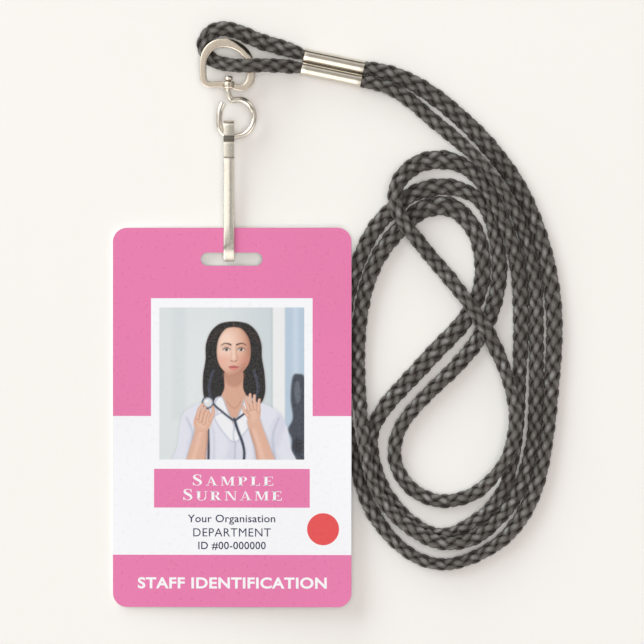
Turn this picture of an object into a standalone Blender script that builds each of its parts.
"""ID card on a coiled braided neck lanyard.

A PVC card hangs by its slot on a sprung strip hook. The hook hangs on a wire
eye that swivels in the boss of a stamped D-ring, the D-ring is threaded on a
short loop of cord, and a double-barrel crimp ferrule joins that loop to the
long neck cord, which lies coiled beside the card.

+Z up, the table is z = 0, +Y runs from the card's bottom edge to its top.
All dimensions are in millimetres; meshes and origins are scaled to metres.
"""
import math

import bmesh
import bpy
import numpy as np
from mathutils import Matrix, Vector
from mathutils.geometry import tessellate_polygon

MM = 0.001

# Shared places
FERRULE_Z = 1.75             # barrel axes, and the cords inside them
RING_Z = 3.60                # D-ring, swivel wire and folded eye of the hook
STEM_X = -24.431             # swivel axis, and the line the D-ring is rolled about
STRIP_X = -24.363            # centre line of the hook strip and gate
FLEX_PIVOT = Vector((8.368, 54.266, 3.32))       # where the neck cord leaves the ferrule


# ------------------------------------------------------------ mesh and objects
def make(name, geometry, mat, origin=(0, 0, 0), smooth=True):
    """One named object from millimetre vertices, its origin at `origin`."""
    verts, faces = geometry
    origin = Vector(origin)
    mesh = bpy.data.meshes.new(name)
    mesh.from_pydata([tuple((Vector(v) - origin) * MM) for v in verts], [], faces)
    bm = bmesh.new()
    bm.from_mesh(mesh)
    bmesh.ops.recalc_face_normals(bm, faces=bm.faces)
    bm.to_mesh(mesh)
    bm.free()
    for poly in mesh.polygons:
        poly.use_smooth = smooth
    if mat is not None:
        mesh.materials.append(mat)
    obj = bpy.data.objects.new(name, mesh)
    obj.location = origin * MM
    bpy.context.scene.collection.objects.link(obj)
    return obj


def boolean(obj, name, geometry, operation):
    """Join or cut `obj` with a hidden helper solid."""
    helper = make(name, geometry, None, smooth=False)
    helper.hide_render = True
    helper.display_type = 'WIRE'
    mod = obj.modifiers.new(operation.lower(), 'BOOLEAN')
    mod.operation = operation
    mod.solver = 'EXACT'
    mod.object = helper


def round_section(sides):
    """Unit polygon with a flat at top and bottom, for sweep."""
    angles = [2 * math.pi * (k + 0.5) / sides for k in range(sides)]
    return [(math.cos(a), math.sin(a)) for a in angles]


def sweep(path, section, closed=False):
    """Unit section swept along rows of x, y, z, half width, half height.

    The section's width stays level.
    """
    points = [Vector(row[:3]) for row in path]
    n, m = len(points), len(section)
    verts = []
    for i, point in enumerate(points):
        before = points[(i - 1) % n] if closed or i > 0 else point
        after = points[(i + 1) % n] if closed or i < n - 1 else point
        tangent = (after - before).normalized()
        side = Vector((0, 0, 1)).cross(tangent).normalized()
        up = tangent.cross(side).normalized()
        half_w, half_h = path[i][3], path[i][4]
        verts += [point + side * (a * half_w) + up * (b * half_h) for a, b in section]
    faces = []
    for i in range(n if closed else n - 1):
        j = (i + 1) % n
        for k in range(m):
            l = (k + 1) % m
            faces.append((i * m + k, i * m + l, j * m + l, j * m + k))
    if not closed:
        faces.append(tuple(range(m)))
        faces.append(tuple((n - 1) * m + k for k in range(m)))
    return verts, faces


def prism(outline, x0, x1, matrix):
    """Outline in (y, z) run from x0 to x1 and carried by a matrix."""
    n = len(outline)
    verts = [matrix @ Vector((x, y, z)) for x in (x0, x1) for y, z in outline]
    faces = [tuple(range(n)), tuple(n + k for k in reversed(range(n)))]
    faces += [(k, (k + 1) % n, n + (k + 1) % n, n + k) for k in range(n)]
    return verts, faces


def ribbon(profile, width, thick):
    """Strip of constant width about STRIP_X, following rows of (y, z)."""
    points = [Vector((STRIP_X, y, z)) for y, z in profile]
    n = len(points)
    verts, faces = [], []
    for i, point in enumerate(points):
        tangent = (points[min(i + 1, n - 1)] - points[max(i - 1, 0)]).normalized()
        normal = tangent.cross(Vector((1, 0, 0))).normalized()
        miter = 1.0
        if 0 < i < n - 1:        # keep the thickness through a bend
            arriving = (point - points[i - 1]).normalized()
            miter = 1.0 / max(0.8, arriving.dot(tangent))
        offset = normal * thick / 2 * miter
        for a, b in ((-1, -1), (1, -1), (1, 1), (-1, 1)):
            verts.append(point + Vector((a * width / 2, 0, 0)) + offset * b)
    for i in range(n - 1):
        for k in range(4):
            l = (k + 1) % 4
            faces.append((i * 4 + k, i * 4 + l, i * 4 + 4 + l, i * 4 + 4 + k))
    faces.append((0, 1, 2, 3))
    faces.append(tuple((n - 1) * 4 + k for k in range(4)))
    return verts, faces


# -------------------------------------------------------------- curve utilities
def arc(cx, cy, r, start_deg, end_deg, count):
    angles = [math.radians(start_deg + (end_deg - start_deg) * k / count)
              for k in range(count + 1)]
    return [(cx + r * math.cos(a), cy + r * math.sin(a)) for a in angles]


def circle(cx, cy, r, count):
    return arc(cx, cy, r, 0, 360, count)[:-1]


def travel(points):
    """Distance covered in plan up to each point."""
    steps = np.linalg.norm(np.diff(points[:, :2], axis=0), axis=1)
    return np.concatenate([[0], np.cumsum(steps)])


def spline(rows, step):
    """Centripetal Catmull-Rom through rows of numbers, resampled evenly in plan."""
    c = np.array(rows, dtype=float)
    ext = np.vstack([2 * c[0] - c[1], c, 2 * c[-1] - c[-2]])
    out = []
    for i in range(1, len(ext) - 2):
        p = ext[i - 1:i + 3]
        knots = [0.0]
        for a, b in zip(p, p[1:]):
            knots.append(knots[-1] + math.sqrt(max(np.linalg.norm((b - a)[:2]), 1e-6)))
        for u in np.linspace(0, 1, 12, endpoint=False):
            t = knots[1] + (knots[2] - knots[1]) * u

            def blend(a, b, start, end):
                t0, t1 = knots[start], knots[end]
                return (t1 - t) / (t1 - t0) * a + (t - t0) / (t1 - t0) * b

            a1, a2, a3 = (blend(p[k], p[k + 1], k, k + 1) for k in range(3))
            out.append(blend(blend(a1, a2, 0, 2), blend(a2, a3, 1, 3), 1, 2))
    out.append(ext[-2])
    out = np.array(out)
    d = travel(out)
    count = max(2, int(round(d[-1] / step)) + 1)
    s = np.linspace(0, d[-1], count)
    return np.column_stack([np.interp(s, d, column) for column in out.T])


def soften(values, passes):
    """Binomial smoothing with fixed ends."""
    v = values.copy()
    for _ in range(passes):
        v[1:-1] = 0.25 * v[:-2] + 0.5 * v[1:-1] + 0.25 * v[2:]
    return v


def thin_out(path, step, spacing):
    """Rows of an evenly spaced path taken `step` apart, ends included."""
    count = int(round((len(path) - 1) * spacing / step)) + 1
    keep = np.linspace(0, len(path) - 1, count)
    return np.column_stack([np.interp(keep, np.arange(len(path)), column)
                            for column in path.T])


# ------------------------------------------------------------------- materials
def material(name, rgb, metallic, roughness):
    mat = bpy.data.materials.new(name)
    mat.use_nodes = True
    bsdf = mat.node_tree.nodes["Principled BSDF"]
    bsdf.inputs["Base Color"].default_value = (*rgb, 1.0)
    bsdf.inputs["Metallic"].default_value = metallic
    bsdf.inputs["Roughness"].default_value = roughness
    mat.diffuse_color = (*rgb, 1.0)
    return mat


def cord_material(name):
    return material(name, rgb=(0.045, 0.042, 0.040), metallic=0.0, roughness=0.85)


def metal(name, rgb, roughness):
    return material(name, rgb, metallic=1.0, roughness=roughness)


def plastic(name, rgb, roughness):
    return material(name, rgb, metallic=0.0, roughness=roughness)


# ------------------------------------------------------------------- neck cord
CORD_D = 3.0                 # nominal round cord
CORD_H_MIN, CORD_H_MAX = 2.35, 3.05
CORD_SIDES = 8
CORD_STEP = 3.4              # ring spacing along the cord
CORD_GAP = 0.32              # air left between strands that touch
SAME_STRAND = 9              # samples this close along the cord never touch
MAX_SQUEEZE = 0.80           # narrowest a strand is pressed by its neighbour
SIDE_BY_SIDE = 0.85          # least cosine between a strand's side and its neighbour
REACH = 5.0                  # strands further apart than this never cross
MAX_RISE = 4.2
LAY_BEND_R = 15.0            # how sharply a strand bends over another
LAY_SLOPE = 0.55             # steepest descent after the bend
END_RAMP = 12                # cord length over which the ends leave ferrule height
TABLE_GAP = 0.02

# The strand from one ferrule barrel round the coil to the other: x, y, and the
# flattened cord's width where it is set (0 = carry on between its neighbours).
RUN_OUTER = [            # lies on the table: outer loop, then the upper lobe
    (6.698, 55.621, 2.709), (9.722, 55.169, 2.844), (13.108, 54.153, 3.160),
    (16.494, 52.686, 0), (19.880, 50.655, 0), (23.266, 48.284, 3.612), (26.652, 45.463, 0),
    (30.038, 42.415, 0), (33.424, 38.916, 0), (36.810, 34.853, 0), (39.745, 30.790, 0),
    (42.228, 26.501, 0), (44.260, 21.986, 0), (46.065, 16.795, 3.612), (47.420, 11.828, 0),
    (48.323, 6.637, 0), (49.000, 0.993, 3.386), (49.113, -4.650, 0), (48.887, -10.293, 3.273),
    (48.436, -15.937, 0), (47.871, -23.837, 3.160), (47.307, -28.352, 0),
    (46.517, -32.867, 3.160), (45.388, -37.381, 3.386), (43.808, -41.896, 3.160),
    (41.325, -46.411, 3.047), (37.939, -50.474, 2.709), (34.553, -52.957, 2.483),
    (30.038, -55.214, 0), (25.524, -56.456, 2.370), (21.009, -56.117, 0), (17.623, -54.763, 0),
    (14.914, -52.957, 2.370), (12.431, -50.700, 0), (10.174, -47.991, 0),
    (8.142, -44.831, 2.935), (6.562, -41.896, 0), (5.433, -38.510, 3.047), (4.530, -35.124, 0),
    (3.628, -31.738, 0), (2.725, -28.352, 2.935), (1.935, -23.837, 0), (1.370, -14.808, 0),
    (1.483, -3.521, 2.935), (2.273, 3.251, 0), (3.176, 6.862, 0), (3.966, 9.571, 2.822),
    (4.982, 12.280, 0), (6.111, 14.989, 0), (7.465, 17.698, 0), (9.271, 20.406, 0),
    (11.077, 22.325, 3.386), (12.883, 24.131, 0), (14.688, 25.711, 0), (16.494, 26.953, 0),
    (18.752, 27.968, 0), (21.009, 28.600, 0), (23.266, 28.916, 3.499), (25.524, 28.826, 0),
    (27.781, 28.307, 3.386), (30.038, 27.404, 0), (32.296, 25.824, 0), (33.876, 23.567, 0),
    (35.005, 20.858, 0), (35.907, 16.795, 3.386), (36.585, 13.183, 0), (36.810, 9.571, 0),
    (36.359, 5.959, 3.160), (35.569, 2.573, 0), (34.440, -0.813, 0), (32.747, -4.199, 0),
    (30.941, -7.133, 3.160), (28.458, -10.068, 0), (25.524, -13.228, 0), (23.266, -15.260, 0),
    (21.009, -17.517, 0), (18.752, -19.774, 2.709), (16.946, -21.806, 0), (15.140, -24.063, 0),
    (13.786, -26.546, 0), (13.108, -29.255, 0), (12.883, -31.738, 2.709), (13.334, -34.221, 0),
    (14.463, -36.479, 0), (16.043, -38.736, 0), (18.074, -40.316, 0), (20.332, -41.445, 0),
    (22.589, -42.122, 2.709)]
RUN_TOP = [              # on top of everything: teardrop and the long diagonal
    (25.072, -42.235, 0), (27.781, -41.670, 0), (30.038, -40.993, 0), (32.296, -39.639, 2.709),
    (34.553, -37.607, 0), (36.810, -34.673, 0), (38.616, -31.738, 0), (39.745, -28.352, 2.822),
    (40.309, -24.966, 0), (40.309, -21.580, 0), (39.745, -18.646, 2.822), (38.842, -15.711, 0),
    (37.939, -12.551, 0), (36.585, -9.391, 0), (35.230, -6.456, 2.935), (33.876, -3.747, 0),
    (32.296, -1.264, 0), (30.038, 2.122, 2.935), (27.781, 5.056, 0), (25.524, 7.991, 0),
    (23.266, 10.700, 2.935), (21.009, 13.183, 0), (18.752, 16.117, 0), (16.494, 18.826, 2.822),
    (15.140, 20.632, 0), (14.011, 22.664, 0), (13.108, 24.470, 0), (12.883, 26.275, 2.935),
    (13.108, 28.081, 0), (13.786, 29.887, 0), (15.140, 31.693, 3.499), (16.720, 33.047, 0),
    (18.752, 34.334, 0), (21.009, 34.808, 3.950)]
RUN_MIDDLE = [           # inner of the long right-hand strands, then back up
    (23.266, 35.011, 4.063), (25.524, 34.808, 0), (27.781, 33.950, 0), (29.813, 32.822, 0),
    (31.619, 31.242, 0), (33.424, 28.984, 3.612), (35.456, 25.824, 0), (37.488, 21.309, 0),
    (39.293, 16.795, 3.386), (40.422, 12.731, 0), (41.099, 9.571, 0), (41.438, 5.508, 3.386),
    (41.551, 0.993, 0), (41.551, -5.779, 3.160), (41.325, -10.293, 0), (41.212, -14.808, 3.047),
    (40.874, -19.323, 0), (40.648, -23.837, 3.047), (40.084, -29.481, 0), (39.293, -34.673, 0),
    (37.713, -39.639, 3.047), (35.682, -42.573, 0), (33.424, -45.056, 0),
    (31.167, -46.637, 2.935), (28.910, -47.991, 0), (26.652, -49.120, 0),
    (24.395, -49.797, 2.709), (22.138, -49.797, 0), (19.880, -48.894, 0),
    (17.623, -47.540, 2.709), (15.366, -45.734, 0), (13.334, -43.476, 0),
    (11.528, -41.219, 2.822), (10.174, -38.962, 0), (9.045, -36.253, 0), (8.142, -33.544, 0),
    (7.691, -31.061, 3.160), (7.578, -28.352, 0), (8.142, -25.643, 0), (9.271, -23.386, 3.273),
    (10.738, -21.129, 0), (12.431, -18.871, 0), (14.237, -17.065, 3.386), (15.817, -15.260, 0),
    (17.623, -13.454, 0), (19.880, -10.971, 3.612), (22.138, -8.488, 0), (24.395, -6.230, 0),
    (26.652, -3.973, 3.612), (28.910, -1.264, 0), (30.490, 1.219, 0), (31.844, 4.153, 3.386),
    (32.747, 7.088, 0)]
RUN_INNER = [            # inner lobe, left strand, bottom arc and back
    (32.973, 10.023, 3.386), (32.747, 13.183, 0), (32.183, 16.343, 3.386), (30.941, 19.278, 0),
    (28.910, 21.986, 0), (26.652, 23.950, 0), (24.395, 24.560, 4.063), (22.138, 24.560, 0),
    (19.880, 23.973, 4.063), (17.623, 22.664, 0), (15.930, 21.084, 3.612), (14.463, 19.503, 0),
    (12.657, 17.698, 0), (11.077, 15.553, 0), (9.497, 13.183, 3.160), (8.142, 10.474, 0),
    (7.014, 7.314, 0), (6.111, 4.379, 2.935), (5.546, 0.993, 0), (5.095, -2.393, 0),
    (4.869, -5.779, 2.822), (4.756, -9.842, 0), (4.869, -14.808, 0), (5.095, -19.323, 2.822),
    (5.433, -22.032, 0), (5.659, -24.966, 0), (6.111, -28.352, 2.935), (6.562, -32.415, 0),
    (7.465, -36.479, 0), (8.594, -39.187, 2.709), (10.174, -41.896, 0), (11.980, -44.153, 0),
    (14.237, -46.411, 2.709), (16.494, -48.104, 0), (18.752, -49.639, 0), (21.009, -50.813, 0),
    (23.266, -51.512, 2.935), (25.524, -51.738, 0), (27.781, -51.558, 0), (30.038, -50.926, 0),
    (32.296, -49.910, 3.273), (34.553, -47.991, 0), (36.810, -45.734, 0),
    (38.616, -43.815, 3.273), (40.196, -41.445, 0), (42.002, -37.381, 2.935),
    (43.357, -32.867, 0), (44.260, -28.352, 0), (44.711, -23.837, 3.160), (44.937, -19.323, 0),
    (45.050, -8.036, 0), (45.050, 0.993, 2.822), (44.824, 5.508, 0), (44.372, 10.023, 0),
    (43.695, 13.409, 0), (42.679, 16.795, 2.822), (41.099, 21.309, 0), (39.068, 25.372, 0),
    (36.810, 28.758, 2.822), (34.553, 31.919, 0), (32.296, 34.628, 0), (30.038, 36.772, 2.822),
    (27.781, 38.804, 0), (25.524, 40.722, 0), (23.266, 42.528, 2.822), (21.009, 44.334, 0),
    (18.752, 46.479, 0), (16.494, 48.284, 2.822), (14.237, 49.865, 0), (11.980, 51.106, 2.709),
    (9.722, 51.874, 2.709), (6.088, 52.664, 2.709)]
# in order along the cord, each with its layer: higher layers lie on lower ones
RUNS = [(0, RUN_OUTER), (3, RUN_TOP), (1, RUN_MIDDLE), (2, RUN_INNER)]


def neck_plan():
    """Centre line in plan, half width and layer of the neck cord, 1 mm apart."""
    rows = np.array([row for _, run in RUNS for row in run])
    layers = np.array([layer for layer, run in RUNS for _ in run])
    d = travel(rows)
    known = rows[:, 2] > 0
    rows[:, 2] = np.interp(d, d[known], rows[known, 2])
    path = spline(np.column_stack([rows, d]), 1.0)
    nearest = np.clip(np.searchsorted(d, path[:, 3] - 1e-9), 0, len(layers) - 1)
    return soften(path[:, :2], 4), soften(path[:, 2], 12) / 2, layers[nearest]


def needed_rise(dist, w_up, h_up, w_low, h_low):
    """Height each upper strand must stand above its lower one, by bisection.

    Also returns which pairs need lifting at all.
    """
    def is_clear(dz):
        r = np.sqrt(dist * dist + dz * dz) + 1e-9
        c, q = dist / r, dz / r
        need = np.sqrt((w_up * c) ** 2 + (h_up * q) ** 2)
        need += np.sqrt((w_low * c) ** 2 + (h_low * q) ** 2)
        return r - need - CORD_GAP >= 0

    low, high = np.zeros(len(dist)), np.full(len(dist), MAX_RISE)
    touching = ~is_clear(low)
    for _ in range(24):
        mid = 0.5 * (low + high)
        ok = is_clear(mid)
        high = np.where(ok, mid, high)
        low = np.where(ok, low, mid)
    return high, touching


def neck_path():
    """Rows of x, y, z, half width, half height of the coiled neck cord.

    Strands that lie on others are lifted just clear of them and come down in
    gentle bends.
    """
    xy, wide, layer = neck_plan()
    s = np.arange(len(xy), dtype=float)
    tangent = np.gradient(xy, axis=0)
    tangent /= np.linalg.norm(tangent, axis=1)[:, None]
    normal = np.column_stack([-tangent[:, 1], tangent[:, 0]])

    # every sample against every other
    delta = xy[None, :, :] - xy[:, None, :]
    dist = np.linalg.norm(delta, axis=2)
    along = np.abs(s[:, None] - s[None, :])
    apart = along > SAME_STRAND
    unit = delta / np.maximum(dist, 1e-6)[:, :, None]
    across_i = np.abs(np.einsum('ijk,ik->ij', unit, normal))
    across_j = np.abs(np.einsum('ijk,jk->ij', unit, normal))

    # neighbours lying side by side squeeze each other a little narrower
    reach = wide[:, None] * across_i + wide[None, :] * across_j
    fit = (dist - CORD_GAP) / np.maximum(reach, 1e-6)
    beside = apart & (fit < 1.0) & (fit > MAX_SQUEEZE)
    beside &= (across_i > SIDE_BY_SIDE) & (across_j > SIDE_BY_SIDE)
    scale = np.where(beside, fit, 1.0).min(axis=1)
    for _ in range(3):
        scale[1:-1] = np.minimum(scale[1:-1], np.minimum(scale[:-2], scale[2:]) + 0.01)
    wide = wide * np.minimum(scale, soften(scale, 6))
    high = np.clip(CORD_D * CORD_D / (2 * wide), CORD_H_MIN, CORD_H_MAX) / 2

    # lift the upper strand of every crossing
    upper, lower = np.nonzero(apart & (dist < REACH) & (layer[:, None] > layer[None, :]))
    rise, touching = needed_rise(
        dist[upper, lower],
        wide[upper] * across_i[upper, lower], high[upper],
        wide[lower] * across_j[upper, lower], high[lower])
    upper, lower, rise = upper[touching], lower[touching], rise[touching]

    # how far the cord may drop at each distance from a raised sample
    knee = LAY_SLOPE * LAY_BEND_R
    drop = np.where(along < knee, along ** 2 / (2 * LAY_BEND_R),
                    knee ** 2 / (2 * LAY_BEND_R) + LAY_SLOPE * (along - knee))
    ends = np.clip(np.minimum(s, s[::-1]) / END_RAMP, 0, 1)
    table = np.maximum(FERRULE_Z + (high - FERRULE_Z) * ends, high) + TABLE_GAP
    z = table
    for _ in range(12):          # lifting one strand lifts those that lie on it
        need = table.copy()
        np.maximum.at(need, upper, z[lower] + rise)
        z = (need[None, :] - drop).max(axis=1)
    z = np.maximum(z, soften(z, 8))
    z[0] = z[-1] = FERRULE_Z
    return np.column_stack([xy, z, wide, high])


def build_neck_cord():
    path = thin_out(neck_path(), CORD_STEP, spacing=1.0)
    make("neck_cord", sweep(path, round_section(CORD_SIDES)), cord_material("braided_cord"))


# ------------------------------------------------------------------- tail cord
TAIL_STEP = 1.5
TAIL_SAMPLE = 0.5
TAIL = [                     # x, y, z, width, height; barrel to barrel
    (5.953, 55.756, 1.75, 2.10, 2.10), (1.822, 56.614, 1.75, 2.10, 2.10),
    (-2.693, 57.562, 1.75, 2.10, 2.10), (-6.305, 58.330, 1.75, 2.10, 2.10),
    (-7.343, 58.555, 1.75, 2.12, 2.12), (-8.788, 59.007, 1.75, 2.75, 2.5),
    (-10.368, 59.549, 1.75, 3.20, 2.7), (-12.851, 60.361, 1.70, 3.45, 2.6),
    (-16.011, 61.219, 1.60, 3.45, 2.6), (-18.720, 62.212, 1.60, 3.40, 2.6),
    (-21.203, 63.386, 1.55, 3.30, 2.6), (-23.686, 64.221, 1.50, 3.30, 2.6),
    (-25.944, 64.515, 1.45, 3.30, 2.5), (-27.975, 64.018, 1.35, 3.30, 2.4),
    (-29.442, 62.731, 1.25, 3.20, 2.2), (-30.142, 60.813, 1.14, 3.10, 2.05),
    (-29.646, 59.052, 1.12, 3.00, 2.0), (-28.427, 57.652, 1.30, 3.00, 2.1),
    (-26.621, 56.772, 2.25, 3.00, 2.2), (-24.589, 56.343, 3.75, 3.00, 2.3),
    (-22.332, 56.117, 5.20, 3.00, 2.3), (-20.526, 56.050, 5.92, 3.00, 2.3),
    (-19.397, 56.050, 6.05, 3.00, 2.3), (-18.043, 56.072, 5.95, 3.00, 2.3),
    (-15.560, 56.140, 4.85, 3.00, 2.5), (-12.851, 56.072, 3.40, 3.00, 2.6),
    (-10.594, 55.892, 2.35, 2.95, 2.6), (-9.239, 55.779, 1.90, 2.60, 2.4),
    (-7.953, 55.621, 1.75, 2.12, 2.12), (-6.530, 55.305, 1.75, 2.10, 2.10),
    (-2.693, 54.515, 1.75, 2.10, 2.10), (1.822, 53.567, 1.75, 2.10, 2.10),
    (5.321, 52.844, 1.75, 2.10, 2.10)]


def build_tail_cord():
    """Short loop beyond the ferrule, carrying the D-ring."""
    path = spline([(x, y, z, w / 2, h / 2) for x, y, z, w, h in TAIL], TAIL_SAMPLE)
    path = np.column_stack([soften(path[:, :3], 3), soften(path[:, 3:], 2)])
    path = thin_out(path, TAIL_STEP, TAIL_SAMPLE)
    make("tail_cord", sweep(path, round_section(CORD_SIDES)),
         cord_material("braided_cord_tail"), FLEX_PIVOT)


# --------------------------------------------------------------------- ferrule
FERRULE_LEFT = Vector((-7.648, 57.088, FERRULE_Z))     # ends of its centre line
FERRULE_RIGHT = Vector((5.806, 54.266, FERRULE_Z))
FERRULE_L = 13.75
BARREL_R, BARREL_BORE_R = 1.50, 1.18
BARREL_PITCH = 3.0135
BARREL_WRAP_DEG = 304        # arc of each barrel outside the waist


def build_ferrule():
    """Two barrels with a waist, bored twice."""
    half = BARREL_PITCH / 2
    outline = []
    for k in range(17):
        a = math.radians(90 + BARREL_WRAP_DEG * (k / 16 - 0.5))
        outline.append((half + BARREL_R * math.sin(a), BARREL_R * math.cos(a)))
    outline += [(-y, -z) for y, z in outline]
    run = FERRULE_RIGHT - FERRULE_LEFT
    frame = (Matrix.Translation((FERRULE_LEFT + FERRULE_RIGHT) / 2)
             @ Matrix.Rotation(math.atan2(run.y, run.x), 4, 'Z'))
    ferrule = make("ferrule", prism(outline, -FERRULE_L / 2, FERRULE_L / 2, frame),
                   metal("crimp_nickel", rgb=(0.62, 0.60, 0.57), roughness=0.24), FLEX_PIVOT)
    for tag, y in (("a", half), ("b", -half)):
        bore = prism(circle(y, 0, BARREL_BORE_R, 20), -FERRULE_L, FERRULE_L, frame)
        boolean(ferrule, f"ferrule_bore_{tag}_cutter", bore, 'DIFFERENCE')


# ---------------------------------------------------------------------- D-ring
RING_T = 1.20
RING_ROLL_DEG = 3.0          # right limb higher
RING_PIVOT = (-24.815, 57.652, 3.5)
BOSS_R, BOSS_BORE_R = 1.42, 0.700
BOSS_L = 1.693
BOSS_Y = 51.716
RING = [                     # centre line, clockwise from the left limb: x, y, limb width
    (-30.142, 53.363, 1.535), (-30.210, 55.169, 1.490), (-30.165, 56.975, 1.535),
    (-29.781, 58.510, 1.670), (-28.968, 59.819, 1.851), (-27.749, 60.767, 1.941),
    (-26.169, 61.196, 1.986), (-24.409, 60.948, 1.986), (-22.783, 60.181, 1.941),
    (-21.361, 59.052, 1.851), (-20.255, 57.743, 1.783), (-19.578, 56.298, 1.761),
    (-19.284, 54.718, 1.783), (-19.352, 53.138, 1.806), (-19.939, 51.783, 1.761),
    (-21.090, 51.084, 1.580), (-22.558, 51.242, 1.400), (STEM_X, 51.693, 1.354),
    (-26.847, 51.874, 1.354), (-28.652, 51.828, 1.400), (-29.713, 52.190, 1.535)]
RING_SECTION = [             # unit rectangle with its corners taken off
    (1, 0.78), (0.84, 1), (-0.84, 1), (-1, 0.78),
    (-1, -0.78), (-0.84, -1), (0.84, -1), (1, -0.78)]


def build_d_ring():
    """Stamped ring, rolled about the swivel axis, with a level bored boss."""
    rows = [(x, y, RING_Z, w / 2, RING_T / 2) for x, y, w in RING + RING[:1]]
    verts, faces = sweep(spline(rows, 0.9)[:-1], RING_SECTION, closed=True)
    hub = Vector((STEM_X, 0, RING_Z))
    roll = (Matrix.Translation(hub) @ Matrix.Rotation(math.radians(-RING_ROLL_DEG), 4, 'Y')
            @ Matrix.Translation(-hub))
    ring = make("d_ring", ([roll @ v for v in verts], faces),
                metal("ring_nickel", rgb=(0.58, 0.56, 0.53), roughness=0.30),
                RING_PIVOT, smooth=False)
    axis = (Matrix.Translation((STEM_X, BOSS_Y, RING_Z))
            @ Matrix.Rotation(math.pi / 2, 4, 'Z'))
    boss = prism(circle(0, 0, BOSS_R, 24), -BOSS_L / 2, BOSS_L / 2, axis)
    boolean(ring, "ring_boss", boss, 'UNION')
    bore = prism(circle(0, 0, BOSS_BORE_R, 24), -2 * BOSS_L, 2 * BOSS_L, axis)
    boolean(ring, "ring_boss_cutter", bore, 'DIFFERENCE')


# ---------------------------------------------------------------- swivel wire
WIRE_R = 0.60
HEAD_R = 1.02
SWIVEL_PIVOT = (STEM_X, 51.738, RING_Z)
STEM = [                     # head, then stem: y, radius
    (53.905, 0.45), (53.725, 1.0), (53.454, HEAD_R), (53.047, HEAD_R), (52.822, 1.0),
    (52.777, WIRE_R), (52.009, WIRE_R), (50.993, WIRE_R)]
EYE = [                      # bent eye, clockwise from the stem: x, y
    (STEM_X, 50.090), (-24.318, 49.300), (-23.777, 48.488), (-22.670, 48.104),
    (-21.316, 47.991), (-20.187, 47.585), (-19.307, 46.682), (-18.743, 45.508),
    (-18.652, 44.108), (-19.036, 42.664), (-19.871, 41.400), (-21.113, 40.519),
    (-22.693, 40.158), (-24.318, 40.203), (-25.740, 40.790), (-26.463, 42.212),
    (-26.485, 44.334), (-26.260, 45.914), (-25.853, 46.998), (-25.492, 47.743)]


def build_swivel_eye():
    """Headed wire through the ring's boss, bent into an open eye."""
    path = [(STEM_X, y, RING_Z, r, r) for y, r in STEM]
    path += [(x, y, RING_Z, WIRE_R, WIRE_R) for x, y in spline(EYE, 0.85)]
    tip_r = WIRE_R * 0.9
    path[-1] = (*path[-1][:3], tip_r, tip_r)
    make("swivel_eye", sweep(path, round_section(12)),
         metal("eye_nickel", rgb=(0.60, 0.58, 0.55), roughness=0.22), SWIVEL_PIVOT)


# --------------------------------------------------------------- hook and gate
STRIP_W, STRIP_T = 2.42, 0.45
FOLD_R = 1.29                # folded eye round the wire, centre of thickness
FOLD_Y = 42.302
LEG_Z = 3.35                 # long leg, centre of thickness
TAB_Z = 3.86                 # folded tab
REAR_Z = 0.90                # rear leg of the J
BEND_Y = 13.363              # centre of the J's bend
HOOK_PIVOT = (STRIP_X, 40.248, RING_Z)
GATE_W, GATE_T = 1.90, 0.25
GATE_PIVOT = (STRIP_X, 35.305, 2.96)
GATE = [                     # y, z
    (37.901, 2.955), (36.659, 2.955), (35.305, 2.94), (33.499, 2.78), (30.339, 2.36),
    (26.953, 1.90), (24.244, 1.53), (22.889, 1.42), (21.874, 1.42)]


def strip_profile():
    """Hook strip's centre line in (y, z), tab end to rear tip."""
    top, bottom = RING_Z + FOLD_R, RING_Z - FOLD_R
    bend_r = (LEG_Z - REAR_Z) / 2
    return [
        (35.418, TAB_Z), (37.111, TAB_Z), (38.375, TAB_Z), (38.916, 4.18),
        (39.526, top - 0.07), (40.609, top), (41.400, top),
        *arc(FOLD_Y, RING_Z, FOLD_R, 90, -90, 8),
        (41.400, bottom), (40.609, bottom), (39.526, bottom + 0.07), (38.916, 3.03),
        (38.375, LEG_Z), (34.853, LEG_Z), (25.824, LEG_Z), (16.795, LEG_Z),
        *arc(BEND_Y, REAR_Z + bend_r, bend_r, 90, 270, 10),
        (17.923, REAR_Z), (22.212, REAR_Z + 0.05), (24.695, REAR_Z + 0.12)]


def build_hook():
    make("hook_strip", ribbon(strip_profile(), STRIP_W, STRIP_T),
         metal("hook_spring_steel", rgb=(0.60, 0.57, 0.52), roughness=0.25),
         HOOK_PIVOT, smooth=False)
    make("spring_gate", ribbon(GATE, GATE_W, GATE_T),
         metal("gate_spring_steel", rgb=(0.55, 0.53, 0.50), roughness=0.30),
         GATE_PIVOT, smooth=False)


# ------------------------------------------------------------------------ card
CARD_W, CARD_H, CARD_T = 53.98, 85.60, 0.76      # CR80 card
CARD_CORNER_R = 3.18
CARD_CENTRE = (-23.6185, -23.2506)
CARD_TILT = math.radians(3.9)                    # right edge rests on the coil
FILM_T = 0.10
FILM_GAP = 0.01
SLOT_L, SLOT_H = 14.0, 3.0
SLOT_CENTRE = (-23.7314, 12.4605)
CARD_PIVOT_Y = 12.2348


def card_matrix():
    """Card frame (x across, y up the card, z out of its face) to the table's."""
    rise = CARD_W / 2 * math.sin(CARD_TILT)      # puts the left edge on the table
    return Matrix.Translation((*CARD_CENTRE, rise)) @ Matrix.Rotation(-CARD_TILT, 4, 'Y')


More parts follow.
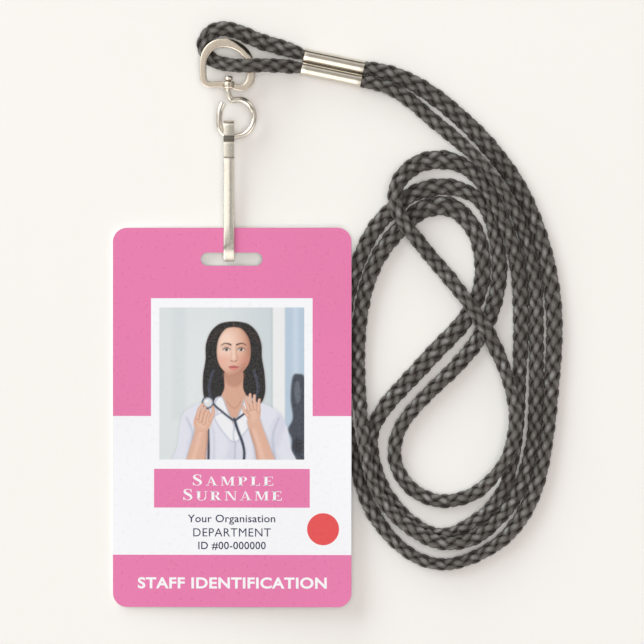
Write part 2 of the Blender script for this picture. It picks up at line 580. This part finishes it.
def on_card(x, y, z=0.0):
    """Plan position on the card to the card's own frame."""
    return Vector(((x - CARD_CENTRE[0]) / math.cos(CARD_TILT), y - CARD_CENTRE[1], z))


def card_sheet(z0, z1):
    """Rounded rectangle with the punched slot, between two card-frame heights."""
    x, y, r = CARD_W / 2 - CARD_CORNER_R, CARD_H / 2 - CARD_CORNER_R, CARD_CORNER_R
    outer = []
    for k, (cx, cy) in enumerate(((x, y), (-x, y), (-x, -y), (x, -y))):
        outer += arc(cx, cy, r, 90 * k, 90 * k + 90, 7)
    slot = on_card(*SLOT_CENTRE)
    end_r = SLOT_H / 2
    reach = SLOT_L / 2 - end_r
    inner = (arc(slot.x + reach, slot.y, end_r, -90, 90, 8)
             + arc(slot.x - reach, slot.y, end_r, 90, 270, 8))
    tris = tessellate_polygon([[Vector((*p, 0)) for p in loop] for loop in (outer, inner)])
    points = outer + inner
    n = len(points)
    matrix = card_matrix()
    verts = [matrix @ Vector((*p, z)) for z in (z0, z1) for p in points]
    faces = [tuple(t) for t in tris] + [tuple(n + i for i in reversed(t)) for t in tris]
    for start, stop in ((0, len(outer)), (len(outer), n)):
        for i in range(start, stop):
            j = i + 1 if i + 1 < stop else start
            faces.append((i, j, n + j, n + i))
    return verts, faces


def build_card():
    """Back film, printed core and front film."""
    core = plastic("card_pvc", rgb=(0.80, 0.22, 0.43), roughness=0.45)
    front = plastic("card_film_front", rgb=(0.82, 0.24, 0.45), roughness=0.20)
    back = plastic("card_film_back", rgb=(0.93, 0.93, 0.93), roughness=0.25)
    inset = FILM_T + FILM_GAP
    pivot = card_matrix() @ on_card(STRIP_X, CARD_PIVOT_Y, CARD_T / 2)
    for name, z0, z1, mat in (("card_back_film", 0.0, FILM_T, back),
                              ("card_core", inset, CARD_T - inset, core),
                              ("card_front_film", CARD_T - FILM_T, CARD_T, front)):
        make(name, card_sheet(z0, z1), mat, pivot, smooth=False)


def build():
    for obj in list(bpy.data.objects):
        bpy.data.objects.remove(obj, do_unlink=True)
    build_neck_cord()
    build_tail_cord()
    build_ferrule()
    build_d_ring()
    build_swivel_eye()
    build_hook()
    build_card()


build()
